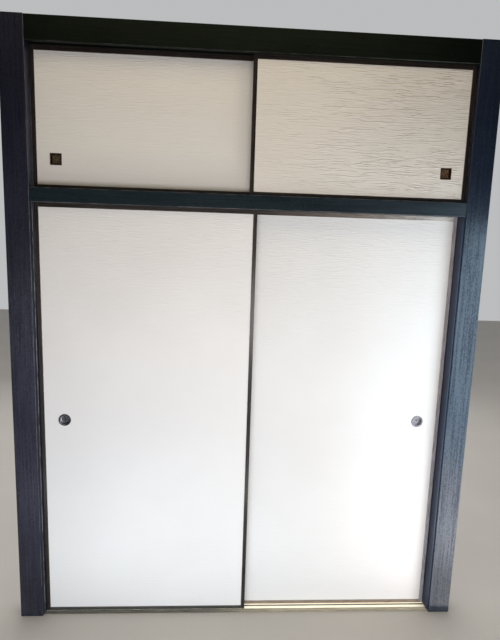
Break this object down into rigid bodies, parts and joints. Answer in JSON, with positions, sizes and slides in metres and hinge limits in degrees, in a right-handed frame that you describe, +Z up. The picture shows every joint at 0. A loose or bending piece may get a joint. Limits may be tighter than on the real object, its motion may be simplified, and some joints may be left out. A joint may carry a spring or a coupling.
{
  "type": "closet front with sliding papered panels",
  "caption": "Dark timber closet front with a tall pair of papered sliding panels below a mid beam and a small pair above, recessed finger pulls.",
  "frame": {"origin": "middle of the base, on the floor, halfway between the posts and halfway through their depth", "axes": "+Z up, +X to the right seen from the room, -Y towards the room (the front with the finger pulls)"},
  "size_m": [1.912, 0.094, 2.444],
  "materials": {
    "frame_paint": "satin",
    "edge_lacquer": "satin",
    "front_paper": "matte",
    "back_paper": "matte",
    "core_wood": "matte",
    "sill_wood": "matte",
    "peg_wood": "matte",
    "slide_tape": "satin",
    "round_pull": "satin",
    "square_pull": "satin",
    "steel": "satin"
  },
  "bodies": {
    "frame": {"left_post": "frame_paint", "right_post": "frame_paint", "head_beam": "frame_paint", "mid_beam": "frame_paint", "floor_sill": "sill_wood", "left_jamb_strip": "frame_paint", "right_jamb_strip": "frame_paint", "sill_slide_tape": "slide_tape", "mid_slide_tape": "slide_tape", "beam_pegs": "peg_wood", "jamb_brads": "steel"},
    "lower_left_panel": {"lower_left_outer_stile": "edge_lacquer", "lower_left_inner_stile": "edge_lacquer", "lower_left_top_rail": "edge_lacquer", "lower_left_bottom_rail": "edge_lacquer", "lower_left_lattice_core": "core_wood", "lower_left_corner_blocks": "core_wood", "lower_left_pull_block": "core_wood", "lower_left_front_paper": "front_paper", "lower_left_back_paper": "back_paper", "lower_left_finger_pull": "round_pull", "lower_left_pull_pins": "steel", "lower_left_edge_nails": "steel"},
    "lower_right_panel": {"lower_right_outer_stile": "edge_lacquer", "lower_right_inner_stile": "edge_lacquer", "lower_right_top_rail": "edge_lacquer", "lower_right_bottom_rail": "edge_lacquer", "lower_right_lattice_core": "core_wood", "lower_right_corner_blocks": "core_wood", "lower_right_pull_block": "core_wood", "lower_right_front_paper": "front_paper", "lower_right_back_paper": "back_paper", "lower_right_finger_pull": "round_pull", "lower_right_pull_pins": "steel", "lower_right_edge_nails": "steel"},
    "upper_left_panel": {"upper_left_outer_stile": "edge_lacquer", "upper_left_inner_stile": "edge_lacquer", "upper_left_top_rail": "edge_lacquer", "upper_left_bottom_rail": "edge_lacquer", "upper_left_lattice_core": "core_wood", "upper_left_corner_blocks": "core_wood", "upper_left_pull_block": "core_wood", "upper_left_front_paper": "front_paper", "upper_left_back_paper": "back_paper", "upper_left_finger_pull": "square_pull", "upper_left_pull_pins": "steel", "upper_left_edge_nails": "steel"},
    "upper_right_panel": {"upper_right_outer_stile": "edge_lacquer", "upper_right_inner_stile": "edge_lacquer", "upper_right_top_rail": "edge_lacquer", "upper_right_bottom_rail": "edge_lacquer", "upper_right_lattice_core": "core_wood", "upper_right_corner_blocks": "core_wood", "upper_right_pull_block": "core_wood", "upper_right_front_paper": "front_paper", "upper_right_back_paper": "back_paper", "upper_right_finger_pull": "square_pull", "upper_right_pull_pins": "steel", "upper_right_edge_nails": "steel"}
  },
  "joints": [
    {"name": "lower_left_slide", "type": "slide", "parent": "frame", "child": "lower_left_panel", "axis": [1, 0, 0], "range_m": [0, 0.832]},
    {"name": "lower_right_slide", "type": "slide", "parent": "frame", "child": "lower_right_panel", "axis": [1, 0, 0], "range_m": [-0.832, 0]},
    {"name": "upper_left_slide", "type": "slide", "parent": "frame", "child": "upper_left_panel", "axis": [1, 0, 0], "range_m": [0, 0.847]},
    {"name": "upper_right_slide", "type": "slide", "parent": "frame", "child": "upper_right_panel", "axis": [1, 0, 0], "range_m": [-0.847, 0]}
  ]
}
